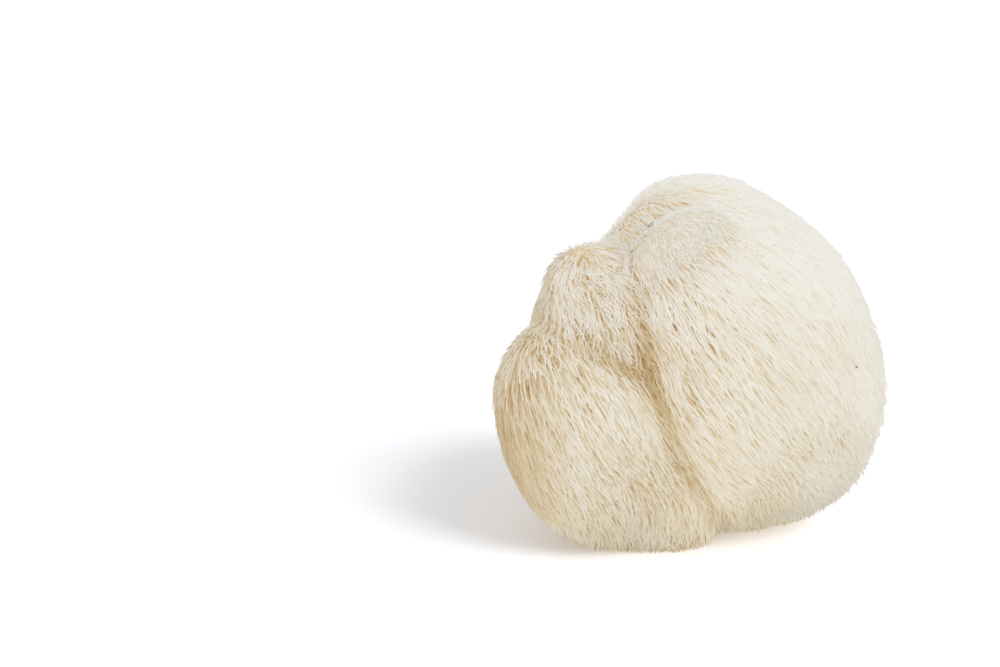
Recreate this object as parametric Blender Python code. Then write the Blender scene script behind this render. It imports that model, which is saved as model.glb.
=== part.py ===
"""Lion's mane mushroom, grown as one fruit body.

The flesh is a cluster of rounded lobes that grew into each other. A coat of
spines hangs from it, all of them pulled the same way, because they grew
downwards while the mushroom stood at another angle than it lies now. Where
the body was cut from what it grew on it has a flat foot, and it rests there.

Everything is in metres, with +Z up, +X to the right of the front, and the
origin at the middle of the underside.
"""

import math
import random
from typing import NamedTuple

import bmesh
import bpy
import numpy as np
from mathutils import Euler, Vector

# ---------------------------------------------------------------- dimensions

# The way the spines grew down, as it lies in the resting position.
HANG = Vector((0.50, 0.0, -0.87)).normalized()


class Lobe(NamedTuple):
    """One rounded bulge of the flesh, as an ellipsoid."""

    name: str
    centre: tuple
    radii: tuple
    lean: float     # degrees that its top leans towards +X
    valley: float   # width of the rounded valley to the lobes before it


LOBES = (
    Lobe("main", (0.0167, -0.0003, 0.0576), (0.0427, 0.0520, 0.0583), -28.6, 0.0000),
    Lobe("rear right", (0.0169, 0.0257, 0.0500), (0.0350, 0.0290, 0.0430), -25, 0.0100),
    Lobe("rear left", (-0.0181, 0.0237, 0.0460), (0.0330, 0.0300, 0.0420), -15, 0.0065),
    Lobe("foot", (0.0068, 0.0077, 0.0140), (0.0410, 0.0340, 0.0220), 0, 0.0080),
    Lobe("ridge", (0.0009, 0.0067, 0.0950), (0.0180, 0.0240, 0.0142), 0, 0.0110),
    Lobe("saddle", (-0.0199, -0.0023, 0.0880), (0.0145, 0.0140, 0.0085), -32, 0.0080),
    Lobe("brow", (-0.0066, -0.0258, 0.0970), (0.0165, 0.0100, 0.0085), -36, 0.0070),
    Lobe("belly", (0.0059, -0.0203, 0.0400), (0.0200, 0.0300, 0.0360), -27, 0.0100),
    Lobe("cheek", (-0.0259, -0.0133, 0.0673), (0.0203, 0.0270, 0.0293), -27, 0.0042),
    Lobe("front", (-0.0306, -0.0198, 0.0340), (0.0297, 0.0370, 0.0410), -30, 0.0044),
    Lobe("toe", (-0.0119, -0.0221, 0.0190), (0.0200, 0.0250, 0.0270), -42, 0.0044),
)


class Dent(NamedTuple):
    """One soft hollow in the surface."""

    centre: tuple
    radius: float
    depth: float


DENTS = (
    Dent((-0.0126, -0.0443, 0.0610), 0.007, 0.0030),    # where three lobes meet
    Dent((0.0174, -0.0423, 0.0190), 0.008, 0.0014),     # low on the main lobe
    Dent((-0.0231, -0.0553, 0.0300), 0.008, 0.0012),    # down the front lobe
    Dent((-0.0166, -0.0323, 0.0915), 0.005, 0.0022),    # bare patch under the brow
    Dent((-0.0196, -0.0168, 0.0955), 0.005, 0.0014),    # hollow between ridge and brow
    Dent((-0.0156, -0.0138, 0.1020), 0.005, 0.0016),    # the same, further up
    Dent((-0.0091, -0.0163, 0.1060), 0.005, 0.0014),    # the same, over the brow
    Dent((-0.0011, -0.0173, 0.1085), 0.005, 0.0008),    # its upper end
)

# Slow unevenness of the surface: a wavelength and a start for X, Y and Z.
SWELL_WAVES = ((0.031, 1.3), (0.027, 0.4), (0.036, 2.1))
SWELL_HEIGHT = 0.0007

# A point inside the flesh that sees every part of the surface.
HEART = Vector((0.0, -0.003, 0.050))
REACH = 0.095                # further from the heart than any part of the surface

FINENESS = 5                 # subdivisions of the ball that the form starts as
COAT = 0.0020                # how deep the valleys between spines are
SPINE_HEIGHT = 0.0027        # how far a spine's tip stands off its root
SPINE_REACH = 0.0050         # how far a spine lies along the surface
SPINE_VARIES = 0.28          # share by which a spine may be longer or shorter
ROOT_JITTER = 0.0007         # how far the roots stray from an even spread
PRESSED_HEIGHT = 0.006       # under this height the floor flattens the spines
SMOOTH_HEIGHT = 0.0012       # under this height they are pressed into the flesh
CREASE_SIZE = 0.35           # share of its size that a spine keeps in a crease
SEED = 11

COLLECTION = "lions_mane_mushroom"
FLESH_COLOUR = (0.87, 0.81, 0.67, 1.0)
FLESH_ROUGHNESS = 0.75

# ---------------------------------------------------------------- the form


def lobe_distance(points, lobe):
    """Return how far each point lies outside the lobe."""
    turn = np.array(Euler((0.0, math.radians(lobe.lean), 0.0)).to_matrix())
    local = (points - np.array(lobe.centre)) @ turn
    radii = np.array(lobe.radii)
    share = np.linalg.norm(local / radii, axis=1)
    steepness = np.linalg.norm(local / radii**2, axis=1)
    return share * (share - 1.0) / steepness


def soft_union(first, second, width):
    """Join two distances with a rounded valley between them."""
    overlap = np.maximum(width - np.abs(first - second), 0.0) / width
    return np.minimum(first, second) - overlap**2 * width / 4.0


def flesh_distance(points):
    """Return how far each point lies outside the coat of the whole body."""
    distance = lobe_distance(points, LOBES[0])
    for lobe in LOBES[1:]:
        distance = soft_union(distance, lobe_distance(points, lobe), lobe.valley)
    for dent in DENTS:
        away = np.linalg.norm(points - np.array(dent.centre), axis=1)
        distance = distance + dent.depth * np.exp(-(away / dent.radius) ** 2)
    for axis, (length, start) in enumerate(SWELL_WAVES):
        wave = np.sin(points[:, axis] / length * math.tau + start)
        distance = distance + wave * SWELL_HEIGHT / len(SWELL_WAVES)
    return distance


def surface_points(directions, depth):
    """Follow each direction out of the heart to the given depth in the coat."""
    heart = np.array(HEART)
    near = np.zeros(len(directions))
    far = np.full(len(directions), REACH)
    for _ in range(24):
        middle = (near + far) / 2.0
        inside = flesh_distance(heart + directions * middle[:, None]) < -depth
        near = np.where(inside, middle, near)
        far = np.where(inside, far, middle)
    return heart + directions * near[:, None]


def surface_normals(points):
    """Return the outward direction of the surface at each point."""
    step = 0.0004
    slopes = []
    for axis in range(3):
        shift = np.zeros(3)
        shift[axis] = step
        slopes.append(flesh_distance(points + shift) - flesh_distance(points - shift))
    normals = np.stack(slopes, axis=1)
    return normals / np.linalg.norm(normals, axis=1, keepdims=True)


def openness(points):
    """Return 1 on an open side and less in a crease, where lobes face each other."""
    distances = np.stack([lobe_distance(points, lobe) for lobe in LOBES])
    nearest, second = np.sort(distances, axis=0)[:2]
    gap = np.clip((second - nearest) / SPINE_REACH, 0.0, 1.0)
    return CREASE_SIZE + (1.0 - CREASE_SIZE) * gap


# ---------------------------------------------------------------- the mesh


def start_ball(bm):
    """Start as an even ball and move each point of it to the coat's valleys."""
    bmesh.ops.create_icosphere(bm, subdivisions=FINENESS, radius=1.0)
    directions = np.array([vert.co.normalized() for vert in bm.verts])
    for vert, point in zip(bm.verts, surface_points(directions, COAT)):
        vert.co = point


def stray_roots(bm, rng):
    """Shift the points a little along the surface, so that no rows show."""
    for vert in bm.verts:
        stray = Vector([rng.uniform(-1.0, 1.0) for _ in range(3)]) * ROOT_JITTER
        vert.co += stray - vert.normal * stray.dot(vert.normal)


def pair_triangles(bm):
    """Join triangles in pairs whose long way follows the hang of the spines."""
    def slant(edge):
        along = (edge.verts[0].co - edge.verts[1].co).normalized()
        normal = (edge.link_faces[0].normal + edge.link_faces[1].normal).normalized()
        flow = (HANG - normal * HANG.dot(normal)).normalized()
        return abs(along.dot(flow))

    paired = set()
    shared = []
    for edge in sorted(bm.edges, key=slant):
        if not paired.intersection(edge.link_faces):
            paired.update(edge.link_faces)
            shared.append(edge)
    bmesh.ops.dissolve_edges(bm, edges=shared)


def raise_spines(bm, rng):
    """Give each face a tip and draw that tip out and down the hang."""
    free_faces = [face for face in bm.faces if face.calc_center_median().z > SMOOTH_HEIGHT]
    tips = bmesh.ops.poke(bm, faces=free_faces)["verts"]
    roots = np.array([tip.co for tip in tips])
    normals = surface_normals(roots)
    hang = np.array(HANG)
    flows = hang - normals * (normals @ hang)[:, None]
    room = np.minimum(openness(roots), openness(roots + flows * SPINE_REACH))
    lift = np.clip(roots[:, 2] / PRESSED_HEIGHT, 0.0, 1.0)
    for tip, normal, flow, share in zip(tips, normals, flows, room * lift):
        size = share * rng.uniform(1.0 - SPINE_VARIES, 1.0 + SPINE_VARIES)
        tip.co += Vector(normal * SPINE_HEIGHT + flow * SPINE_REACH) * size


def cut_foot(bm):
    """Cut the body off flat at the floor and close the cut."""
    everything = bm.verts[:] + bm.edges[:] + bm.faces[:]
    cut = bmesh.ops.bisect_plane(bm, geom=everything, dist=0.00002, plane_co=(0.0, 0.0, 0.0),
                                 plane_no=(0.0, 0.0, 1.0), clear_inner=True)
    rim = [item for item in cut["geom_cut"] if isinstance(item, bmesh.types.BMEdge)]
    bmesh.ops.triangle_fill(bm, use_beauty=True, edges=rim)
    bmesh.ops.triangulate(bm, faces=bm.faces[:])
    bmesh.ops.recalc_face_normals(bm, faces=bm.faces[:])
    for vert in bm.verts:
        vert.co.z = max(vert.co.z, 0.0)


def flesh_material():
    """Return the creamy white of fresh flesh and spines."""
    material = bpy.data.materials.new("mushroom_flesh")
    material.use_nodes = True
    shader = material.node_tree.nodes["Principled BSDF"]
    shader.inputs["Base Color"].default_value = FLESH_COLOUR
    shader.inputs["Roughness"].default_value = FLESH_ROUGHNESS
    shader.inputs["Metallic"].default_value = 0.0
    return material


def make_fruit_body(collection):
    """Model the fruit body and put it in the collection."""
    rng = random.Random(SEED)
    bm = bmesh.new()
    start_ball(bm)
    stray_roots(bm, rng)
    pair_triangles(bm)
    raise_spines(bm, rng)
    cut_foot(bm)
    mesh = bpy.data.meshes.new("fruit_body")
    bm.to_mesh(mesh)
    bm.free()
    mesh.materials.append(flesh_material())
    fruit_body = bpy.data.objects.new("fruit_body", mesh)
    collection.objects.link(fruit_body)
    return fruit_body


def main():
    """Clear the scene and build the mushroom."""
    for item in list(bpy.data.objects):
        bpy.data.objects.remove(item)
    collection = bpy.data.collections.new(COLLECTION)
    bpy.context.scene.collection.children.link(collection)
    fruit_body = make_fruit_body(collection)
    print(fruit_body.name, "triangles:", len(fruit_body.data.polygons))
    print("size:", [round(side, 4) for side in fruit_body.dimensions])


main()
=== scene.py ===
# %% [markdown]
# # A lion's mane mushroom
#
# This lesson dresses the plain solid of a lion's mane mushroom. The real one is one soft,
# springy fruit body: round lobes of white flesh that grew into each other, and a dense coat
# of spines that hangs from them. Each spine is about a millimetre thick and up to a couple of
# centimetres long, so from a step away the coat reads as combed fur.
#
# Everything is in metres, with +Z up. The solid is loaded first, and every piece is made
# around it, in the same place and at the same size.

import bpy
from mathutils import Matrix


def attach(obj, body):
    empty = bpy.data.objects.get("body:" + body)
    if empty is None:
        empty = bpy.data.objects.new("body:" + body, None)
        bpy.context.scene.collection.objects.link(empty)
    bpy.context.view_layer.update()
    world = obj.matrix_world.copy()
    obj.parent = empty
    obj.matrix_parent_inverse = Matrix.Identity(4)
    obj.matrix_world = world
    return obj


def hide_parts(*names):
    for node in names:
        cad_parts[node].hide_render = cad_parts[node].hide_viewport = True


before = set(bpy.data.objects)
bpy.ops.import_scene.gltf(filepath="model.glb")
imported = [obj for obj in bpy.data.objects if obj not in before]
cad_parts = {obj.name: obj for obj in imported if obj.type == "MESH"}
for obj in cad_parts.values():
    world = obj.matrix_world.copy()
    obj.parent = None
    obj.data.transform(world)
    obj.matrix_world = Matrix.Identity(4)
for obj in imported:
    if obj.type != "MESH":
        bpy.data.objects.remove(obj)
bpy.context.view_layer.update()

# %% [markdown]
# ## Tools for the work
#
# NumPy moves many thousands of points at once, which plain Python is too slow for. One
# generator with a fixed start gives every random number, and Blender's noise gets a fixed
# start too, so each run grows the same coat.

# %% Imports, random numbers and directions
import math

import bmesh
import bpy
import numpy as np
from mathutils import Euler, Vector, kdtree, noise

chance = np.random.default_rng(23)
noise.seed_set(23)           # Blender's own noise vectors start anywhere without it


def unit(vectors):
    """Return the vectors with length 1."""
    return vectors / np.maximum(np.linalg.norm(vectors, axis=-1, keepdims=True), 1e-9)


def along_surface(vectors, normals):
    """Take away the part of each vector that leaves the surface."""
    return vectors - normals * np.sum(vectors * normals, axis=-1, keepdims=True)


print("NumPy", np.__version__, "and a direction for a slope of 3 to 4:", unit(np.array((3.0, 4.0))))

# %% [markdown]
# ## The form of the flesh
#
# The flesh is a cluster of bulges. It could be sculpted or made of metaballs, but here each
# bulge is an ellipsoid with a measured distance to it, and the distances are joined with a
# soft valley where two bulges meet. The solid was made in the same way, of the same
# bulges, so this surface runs through the tips of its coarse spines, all the way round.

# %% The lobes, the dents and the slow swell
# name, centre, radii, degrees that the top leans to +X, width of the valley to earlier lobes
LOBES = (
    ("main", (0.0167, -0.0003, 0.0576), (0.0427, 0.0520, 0.0583), -28.6, 0.0),
    ("rear right", (0.0169, 0.0257, 0.0500), (0.0350, 0.0290, 0.0430), -25, 0.01),
    ("rear left", (-0.0181, 0.0237, 0.0460), (0.0330, 0.0300, 0.0420), -15, 0.0065),
    ("foot", (0.0068, 0.0077, 0.0140), (0.0410, 0.0340, 0.0220), 0, 0.008),
    ("ridge", (0.0009, 0.0067, 0.0950), (0.0180, 0.0240, 0.0142), 0, 0.011),
    ("saddle", (-0.0199, -0.0023, 0.0880), (0.0145, 0.0140, 0.0085), -32, 0.008),
    ("brow", (-0.0066, -0.0258, 0.0970), (0.0165, 0.0100, 0.0085), -36, 0.007),
    ("belly", (0.0059, -0.0203, 0.0400), (0.0200, 0.0300, 0.0360), -27, 0.01),
    ("cheek", (-0.0259, -0.0133, 0.0673), (0.0203, 0.0270, 0.0293), -27, 0.0042),
    ("front", (-0.0306, -0.0198, 0.0340), (0.0297, 0.0370, 0.0410), -30, 0.0044),
    ("toe", (-0.0119, -0.0221, 0.0190), (0.0200, 0.0250, 0.0270), -42, 0.0044),
)
LOBE_NAMES = [lobe[0] for lobe in LOBES]


def by_lobe(table, other):
    """Return the table's value for each lobe, or the other value where it has none."""
    return np.array([table.get(name, other) for name in LOBE_NAMES])


# centre, radius and depth of each soft hollow
DENTS = (
    ((-0.0126, -0.0443, 0.0610), 0.007, 0.003),
    ((0.0174, -0.0423, 0.0190), 0.008, 0.0014),
    ((-0.0231, -0.0553, 0.0300), 0.008, 0.0012),
    ((-0.0166, -0.0323, 0.0915), 0.005, 0.0022),
    ((-0.0196, -0.0168, 0.0955), 0.005, 0.0014),
    ((-0.0156, -0.0138, 0.1020), 0.005, 0.0016),
    ((-0.0091, -0.0163, 0.1060), 0.005, 0.0014),
    ((-0.0011, -0.0173, 0.1085), 0.005, 0.0008),
)

# slow unevenness of the surface: a wavelength and a start for X, Y and Z
SWELL_WAVES = ((0.031, 1.3), (0.027, 0.4), (0.036, 2.1))
SWELL_HEIGHT = 0.0007

print(len(LOBES), "lobes and", len(DENTS), "dents")


# %% Distance to the coat's surface
SLOPE_STEP = 0.0004          # how far apart the points are that give the slope


def lobe_distance(points, lobe):
    """Return how far each point lies outside the lobe."""
    _, centre, radii, lean, _ = lobe
    turn = np.array(Euler((0.0, math.radians(lean), 0.0)).to_matrix())
    local = (points - np.array(centre)) @ turn
    radii = np.array(radii)
    share = np.linalg.norm(local / radii, axis=-1)
    steepness = np.linalg.norm(local / radii**2, axis=-1)
    return share * (share - 1.0) / steepness


def lobe_distances(points):
    """Return how far each point lies outside every lobe."""
    return np.stack([lobe_distance(points, lobe) for lobe in LOBES], axis=-1)


def coat_distance(points):
    """Return how far each point lies outside the coat of the whole body."""
    distance = lobe_distance(points, LOBES[0])
    for lobe in LOBES[1:]:
        other = lobe_distance(points, lobe)
        width = lobe[4]
        overlap = np.maximum(width - np.abs(distance - other), 0.0) / width
        distance = np.minimum(distance, other) - overlap**2 * width / 4.0
    for centre, radius, depth in DENTS:
        away = np.linalg.norm(points - np.array(centre), axis=-1)
        distance = distance + depth * np.exp(-(away / radius) ** 2)
    for axis, (length, start) in enumerate(SWELL_WAVES):
        wave = np.sin(points[..., axis] / length * math.tau + start)
        distance = distance + wave * SWELL_HEIGHT / len(SWELL_WAVES)
    return distance


def surface_normals(points):
    """Return the outward direction of the coat's surface at each point."""
    slopes = []
    for shift in np.eye(3) * SLOPE_STEP:
        slopes.append(coat_distance(points + shift) - coat_distance(points - shift))
    return unit(np.stack(slopes, axis=-1))


print("the middle lies", round(-float(coat_distance(np.array((0.0, 0.0, 0.05)))) * 1000, 1), "mm deep")

# %% Creases, where lobes face each other
LOOK_OUT = 0.007             # how far over the surface its openness is felt
CLOSED_AT = 0.50             # share of free way there that counts as a crease
OPEN_AT = 0.93               # share that counts as open


def openness(points):
    """Return 1 on an open side and 0 deep in a crease."""
    over = points + surface_normals(points) * LOOK_OUT
    share = (coat_distance(over) - coat_distance(points)) / LOOK_OUT
    return np.clip((share - CLOSED_AT) / (OPEN_AT - CLOSED_AT), 0.0, 1.0)


print("openness at the middle of the long crease:",
      round(float(openness(np.array([(-0.0109, -0.0434, 0.0510)]))[0]), 2))

# %% Lines where the big bulges meet
GROUPS = {"cheek": 1, "front": 2, "toe": 2}    # the others are one bulge, number 0
GAP_STEP = 0.0003
LEAST_SLOPE = 0.2            # keeps the distance finite where two bulges run side by side


def group_gap(points):
    """Return how much further the second nearest bulge is than the nearest."""
    group_of = by_lobe(GROUPS, 0)
    distances = lobe_distances(points)
    nearest = [distances[..., group_of == group].min(axis=-1) for group in range(3)]
    nearest = np.sort(nearest, axis=0)
    return nearest[1] - nearest[0]


def from_crease(points):
    """Return how far each point lies from the line where two big bulges meet."""
    here = group_gap(points)
    slope = [(group_gap(points + shift) - here) / GAP_STEP for shift in np.eye(3) * GAP_STEP]
    return here / np.maximum(np.linalg.norm(slope, axis=0), LEAST_SLOPE)


print("from the long crease to the middle of the main bulge:",
      round(float(from_crease(np.array([(0.020, -0.050, 0.050)]))[0]) * 1000), "mm")

# %% [markdown]
# ## The hang
#
# The spines of this mushroom grow straight down, whatever way its surface faces. This one
# was laid down at another angle than it grew at, so its spines now slant to the right.
# Each lobe was pressed and turned a little by its neighbours, so each gets its own
# direction, and where two lobes meet the directions are blended. On the crests of the
# upper lobes the coat parts like hair: the spines in front flow to the front, and those
# behind flow to the back. Towards both sides and the floor they go over to hanging
# straight down, limp with their own weight.

# %% The hang of each lobe
HANGS = {
    "main": (0.65, -0.04, -0.76),
    "rear right": (0.60, 0.10, -0.80),
    "rear left": (0.45, 0.15, -0.88),
    "foot": (0.50, 0.0, -0.87),
    "ridge": (0.76, -0.56, -0.33),
    "saddle": (0.45, -0.62, -0.60),
    "brow": (0.62, -0.62, -0.48),
    "cheek": (0.36, -0.42, -0.83),
    "front": (0.50, -0.48, -0.72),
    "toe": (0.52, -0.20, -0.83),
    "belly": (0.65, -0.04, -0.76),
}
HANG_BLEND = 0.004           # how wide two lobes' directions are blended
HANG_REACH = {"ridge": 0.006, "brow": 0.003}     # how far theirs go beyond the lobe
CRESTS = ("ridge", "saddle", "brow", "cheek")    # where they part, to the front and the back
PARTING = (-0.30, 0.25)      # from facing this far forwards to facing this far back
PARTED_BACK = 1.1            # how strongly they then flow to the back

# between which places they go over to hanging straight down, to the right, to the left and
# down to the floor (as heights with a minus), and how much of the slant goes there
LIMP_RIGHT = (0.034, 0.062)
LIMP_LEFT = (0.030, 0.062)
LIMP_LOW = (-0.026, -0.006)
SLANT_LOST = {"right": 0.85, "left": 0.70, "low": 0.85}


def hang_at(points):
    """Return the way the spines hang at each point."""
    distances = lobe_distances(points) - by_lobe(HANG_REACH, 0.0)
    distances = distances - distances.min(axis=-1, keepdims=True)
    weights = np.exp(-distances / HANG_BLEND)
    weights = weights / weights.sum(axis=-1, keepdims=True)
    directions = unit(np.array([HANGS[name] for name in LOBE_NAMES]))
    hang = unit(weights @ directions)
    crest = weights[..., np.isin(LOBE_NAMES, CRESTS)].sum(axis=-1)
    back = np.interp(surface_normals(points)[..., 1], PARTING, (0.0, PARTED_BACK))
    hang[..., 1] += back * crest
    right = np.interp(points[..., 0], LIMP_RIGHT, (0.0, SLANT_LOST["right"]))
    left = np.interp(-points[..., 0], LIMP_LEFT, (0.0, SLANT_LOST["left"]))
    low = np.interp(-points[..., 2], LIMP_LOW, (0.0, SLANT_LOST["low"]))
    hang[..., 0] *= 1.0 - np.maximum(right, np.maximum(left, low))
    return unit(hang)


print("hang of the main lobe:", unit(np.array(HANGS["main"])).round(3))

# %% Crowns, where the surface faces against the hang
CROWN_FACING = (-0.98, -0.80)    # from right against the hang to no crown any more


def hang_facing(points):
    """Return 1 where the surface faces down the hang, and -1 where it faces against it."""
    return np.sum(surface_normals(points) * hang_at(points), axis=-1)


def crownness(points):
    """Return 1 where the spines part in all directions, and 0 away from there."""
    return np.interp(hang_facing(points), CROWN_FACING, (1.0, 0.0))


print("crownness of the top:", round(float(crownness(np.array((-0.02, 0.0, 0.11)))), 2))

# %% [markdown]
# ## The flesh under the coat
#
# Between the spines the flesh shows as tan slits, and underneath it shows as the pale cut
# where the body was taken from what it grew on. A ball with even triangles is a good start
# for such a closed form: each point slides along its own ray, out to the flesh or down to
# the flat cut, whichever comes first. The mesh stays closed and has no poles. On the
# crown the coat is only a short fuzz, so the flesh lies closer to the tips there.

# %% How deep the flesh lies
COAT_DEPTH = 0.0016          # how deep the flesh lies under the tips of lying spines
FREE_DEPTH = 0.0022          # how much deeper it lies where the spines hang free
CREASE_DEPTH = 0.0026        # how much deeper it lies at the bottom of a crease
FUZZ_LOBES = ("ridge", "saddle", "brow")
FUZZ_DEPTH = 0.55            # share of the depth where the coat is a short fuzz
FUZZ_EDGE = (-0.002, 0.004)  # over what distance the fuzz goes over to the long coat


def fuzz_share(points):
    """Return 1 where the coat is a short fuzz and 0 where it is long."""
    distances = lobe_distances(points)
    fuzzy = np.isin(LOBE_NAMES, FUZZ_LOBES)
    to_fuzz = distances[..., fuzzy].min(axis=-1) - distances[..., ~fuzzy].min(axis=-1)
    return np.interp(to_fuzz, FUZZ_EDGE, (1.0, 0.0))


def coat_depth(points):
    """Return how thick the coat is at each point."""
    free = hang_facing(points).clip(0.0, 1.0)
    thin = 1.0 - (1.0 - FUZZ_DEPTH) * fuzz_share(points)
    return thin * COAT_DEPTH + FREE_DEPTH * free + CREASE_DEPTH * (1.0 - openness(points)) ** 2


print("fuzz on top of the ridge:", float(fuzz_share(np.array((0.0, 0.005, 0.109)))))

# %% Flesh: a ball drawn out to the lobes
HEART = np.array((0.0, -0.003, 0.050))    # it sees every part of the surface
REACH = 0.095                # further from the heart than any part of the surface
HALVINGS = 24                # each halves what is left between inside and outside


def ray_points(directions, depth):
    """Follow each direction out of the heart to the given depth in the coat."""
    near = np.zeros(len(directions))
    far = np.full(len(directions), REACH)
    for _ in range(HALVINGS):
        middle = (near + far) / 2.0
        inside = coat_distance(HEART + directions * middle[:, None]) < -depth
        near = np.where(inside, middle, near)
        far = np.where(inside, far, middle)
    return HEART + directions * near[:, None]


def flesh_points(directions):
    """Follow each direction to the flesh, or to the cut if that comes first."""
    depth = coat_depth(ray_points(directions, COAT_DEPTH))
    places = ray_points(directions, depth)
    share = HEART[2] / np.maximum(HEART[2] - places[:, 2], HEART[2])
    return HEART + (places - HEART) * share[:, None]


flesh_bm = bmesh.new()
bmesh.ops.create_icosphere(flesh_bm, subdivisions=7, radius=1.0)
rays = np.array([vert.co.normalized() for vert in flesh_bm.verts])
flesh_places = flesh_points(rays)
on_cut = flesh_places[:, 2] < 1e-5
print(len(flesh_bm.faces), "triangles,", int(on_cut.sum()), "points on the cut")

# %% Flesh: pits between the roots and fibres on the cut
PIT_HEIGHT = 0.00035         # unevenness of the flesh between the spines
PIT_SIZE = 0.0016
FIBRE_RELIEF = 0.0005        # torn threads stand this far up into the cut
FIBRE_TURNS = 6.0            # how often the relief changes round the cut
FIBRE_PACE = 140.0           # and how often in a metre from its middle outwards
FINE_FIBRE = 0.0012
RIM_WIDTH = 0.006            # the dry, yellow rim of the cut
CREASE_HEIGHTS = (0.036, 0.056, 0.080, 0.092)
CREASE_SHADE_SHARE = (0.3, 1.0, 1.0, 0.2)    # how much painted shade a crease has at those heights

marks = {name: flesh_bm.verts.layers.float.new(name) for name in ("cut", "rim", "crease")}
depths = -coat_distance(flesh_places) - COAT_DEPTH
open_flesh = openness(flesh_places)

for number, vert in enumerate(flesh_bm.verts):
    point = Vector(flesh_places[number])
    if on_cut[number]:
        spoke = math.atan2(point.y, point.x)
        pull = Vector((math.cos(spoke), math.sin(spoke), 0.0)) * FIBRE_TURNS
        pull.z = point.length * FIBRE_PACE
        fine = noise.noise(point / FINE_FIBRE)
        point.z = FIBRE_RELIEF * (0.5 + 0.4 * noise.noise(pull) + 0.2 * fine)
    else:
        point += vert.co.normalized() * PIT_HEIGHT * noise.noise(point / PIT_SIZE)
    point.z = max(point.z, 0.0)
    vert.co = point
    vert[marks["cut"]] = float(on_cut[number])
    vert[marks["rim"]] = max(0.0, 1.0 - depths[number] / RIM_WIDTH)
    # painted shade: the flesh is marked darker in the creases, where shade falls
    crease_shade = np.interp(point.z, CREASE_HEIGHTS, CREASE_SHADE_SHARE)
    vert[marks["crease"]] = (1.0 - open_flesh[number]) * crease_shade


def finished(name, bm):
    """Turn the bmesh into a smooth object at the origin."""
    mesh = bpy.data.meshes.new(name)
    bm.to_mesh(mesh)
    bm.free()
    mesh.shade_smooth()
    piece = bpy.data.objects.new(name, mesh)
    bpy.context.scene.collection.objects.link(piece)
    return piece


flesh = finished("flesh", flesh_bm)
print("flesh in mm:", [round(side * 1000, 1) for side in flesh.dimensions])

# %% [markdown]
# ## Where the spines stand
#
# The coat has two layers. Short spines fill it and lie low, and long ones ride on top of
# them, so that each long one shows from its root to its tip, with the tan of the lower
# layer in the gaps. Both start everywhere on the flesh with about the same room each, but
# in no pattern. Particles would spread them, and the export would drop them. So points are
# thrown on the flesh at random, and one that lands too close to an earlier one is thrown
# away. What stays is even and has no rows.

# %% The two layers
FILL = {
    "label": "fill",
    "throws": 150000,
    "room": 0.00125,         # least distance between two spines
    "length": 0.0085,
    "radius": 0.00050,
    "height": -0.0006,       # how far the tips stand off the coat's surface
    "spread": 0.00018,       # how much that height varies
    "quickness": 2.0,        # how soon a spine rises from the flesh
    "wave": 0.00012,         # how far it swings to its sides
    "tone": -0.09,           # how much whiter the whole layer is; darker here, as painted shade under the long layer
    "steps": (0.0, 0.33, 0.70, 1.0),    # where along a spine its rings lie
}
LONG = {
    "label": "long",
    "throws": 210000,
    "room": 0.00106,
    "length": 0.0112,
    "radius": 0.00032,
    "height": 0.00005,
    "spread": 0.00024,
    "quickness": 2.1,
    "wave": 0.00030,
    "tone": 0.05,
    "steps": (0.0, 0.18, 0.40, 0.62, 0.83, 1.0),
}
print("layers:", FILL["label"], "and", LONG["label"])


# %% Throw points on the flesh
LOWEST_ROOT = 0.0009


def thrown_points(piece, throws):
    """Return random points on the piece, even by area, above the cut."""
    mesh = piece.data
    corners = np.empty(len(mesh.polygons) * 3, dtype=np.int32)
    mesh.polygons.foreach_get("vertices", corners)
    places = np.empty(len(mesh.vertices) * 3)
    mesh.vertices.foreach_get("co", places)
    a, b, c = places.reshape(-1, 3)[corners.reshape(-1, 3)].transpose(1, 0, 2)
    area = np.linalg.norm(np.cross(b - a, c - a), axis=1)
    area[(a[:, 2] + b[:, 2] + c[:, 2]) / 3.0 < LOWEST_ROOT] = 0.0
    pick = chance.choice(len(area), size=throws, p=area / area.sum())
    u, v = chance.random((2, throws, 1))
    over = u + v > 1.0
    u, v = np.where(over, 1.0 - u, u), np.where(over, 1.0 - v, v)
    return a[pick] + (b[pick] - a[pick]) * u + (c[pick] - a[pick]) * v


for layer in (FILL, LONG):
    print(layer["label"], layer["throws"], "points to throw")

# %% Roots: keep the points with room
CROWN_ROOM = 0.80            # share of the room on a crown, where spines lean apart


def with_room(points, rooms):
    """Keep each point that has its own room to every point kept before."""
    kept = []
    cells = {}
    cell = float(rooms.max())
    around = [(i, j, k) for i in (-1, 0, 1) for j in (-1, 0, 1) for k in (-1, 0, 1)]
    for point, room in zip(points.tolist(), rooms.tolist()):
        x, y, z = (math.floor(value / cell) for value in point)
        near = (other for i, j, k in around for other in cells.get((x + i, y + j, z + k), ()))
        if all(math.dist(point, other) >= room for other in near):
            cells.setdefault((x, y, z), []).append(point)
            kept.append(point)
    return np.array(kept)


for layer in (FILL, LONG):
    thrown = thrown_points(flesh, layer["throws"])
    rooms = layer["room"] * (1.0 - (1.0 - CROWN_ROOM) * crownness(thrown))
    layer["roots"] = with_room(thrown, rooms)
    print(layer["label"], len(layer["roots"]), "spines")

# %% [markdown]
# ## How a spine grows
#
# A spine leaves the flesh steeply, bends over, and then lies along the coat, pulled the way
# the mushroom hung while it grew. That way isn't straight down now, because the mushroom
# was laid down at another angle. So each spine is a walk in a few steps: along the surface,
# down the hang, while rising from the flesh to the tips. On the underside, where the hang
# points away from the surface, the walk hardly moves along it, and the spines stand out
# like a brush.

# %% How each spot of the surface stands to the hang
DISORDER = 0.17              # how much of a spine's way is chance
DISORDER_SIZE = 0.011
FINER_DISORDER = (3.5, 0.7)  # a second one is so many times finer and so much weaker
TOUSLED = {"cheek": 2.2, "brow": 1.8, "ridge": 1.5, "saddle": 1.8}


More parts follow.
